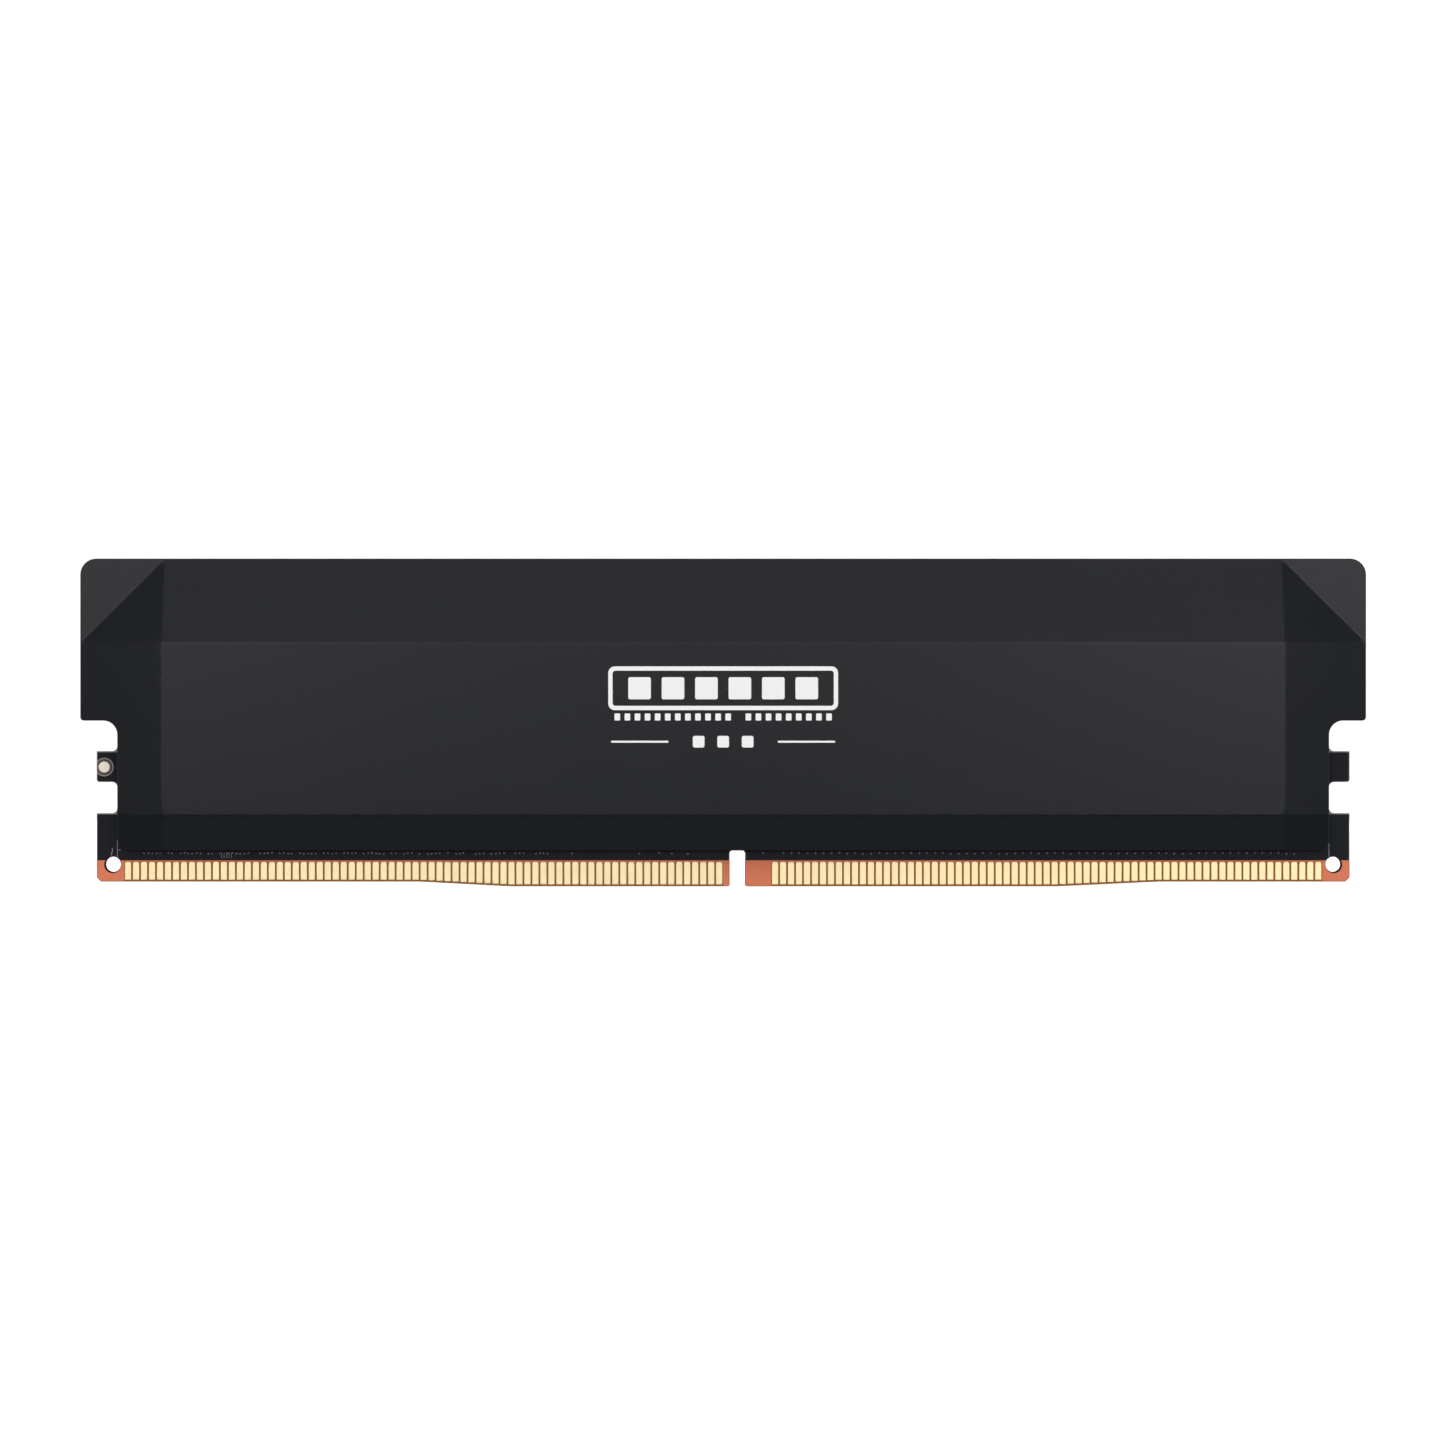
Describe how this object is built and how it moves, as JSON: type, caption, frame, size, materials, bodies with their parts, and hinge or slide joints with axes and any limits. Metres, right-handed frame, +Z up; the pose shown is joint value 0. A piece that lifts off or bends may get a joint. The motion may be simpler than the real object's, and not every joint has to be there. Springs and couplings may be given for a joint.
{
  "type": "ram module",
  "caption": "Desktop computer memory module: a card-edge circuit board between black faceted aluminium heat spreaders, with gold contacts along its lower edge.",
  "frame": {"origin": "middle of the card edge: halfway along the board and through its thickness, level with the lowest part of the contact edge", "axes": "+X along the card edge, with the contact rows' first pin at -X on the front; +Y towards the rear spreader; +Z up, away from the socket"},
  "size_m": [0.1366, 0.0073, 0.0349],
  "materials": {
    "board": "satin",
    "gold": "satin",
    "chip": "matte",
    "capacitor": "satin",
    "resistor": "satin",
    "thermal_pad": "matte",
    "inductor": "matte",
    "spreader": "matte",
    "label": "satin"
  },
  "bodies": {
    "root": {"circuit_board": "board", "alignment_marks": "gold", "contacts_front_left": "gold", "contacts_front_right": "gold", "memory_front_1": "chip", "memory_front_2": "chip", "memory_front_3": "chip", "memory_front_4": "chip", "memory_front_5": "chip", "memory_front_6": "chip", "memory_front_7": "chip", "memory_front_8": "chip", "decoupling_capacitors_front": "capacitor", "resistor_arrays_front": "resistor", "thermal_pad_front_left": "thermal_pad", "thermal_pad_front_right": "thermal_pad", "contacts_back_left": "gold", "contacts_back_right": "gold", "memory_back_1": "chip", "memory_back_2": "chip", "memory_back_3": "chip", "memory_back_4": "chip", "memory_back_5": "chip", "memory_back_6": "chip", "memory_back_7": "chip", "memory_back_8": "chip", "decoupling_capacitors_back": "capacitor", "resistor_arrays_back": "resistor", "thermal_pad_back_left": "thermal_pad", "thermal_pad_back_right": "thermal_pad", "thermal_pad_power": "thermal_pad", "power_management_chip": "chip", "sideband_hub_chip": "chip", "power_inductor_1": "inductor", "power_inductor_2": "inductor", "power_inductor_3": "inductor", "bulk_capacitors": "capacitor", "front_spreader": "spreader", "rear_spreader": "spreader", "rear_label": "label"}
  },
  "joints": []
}
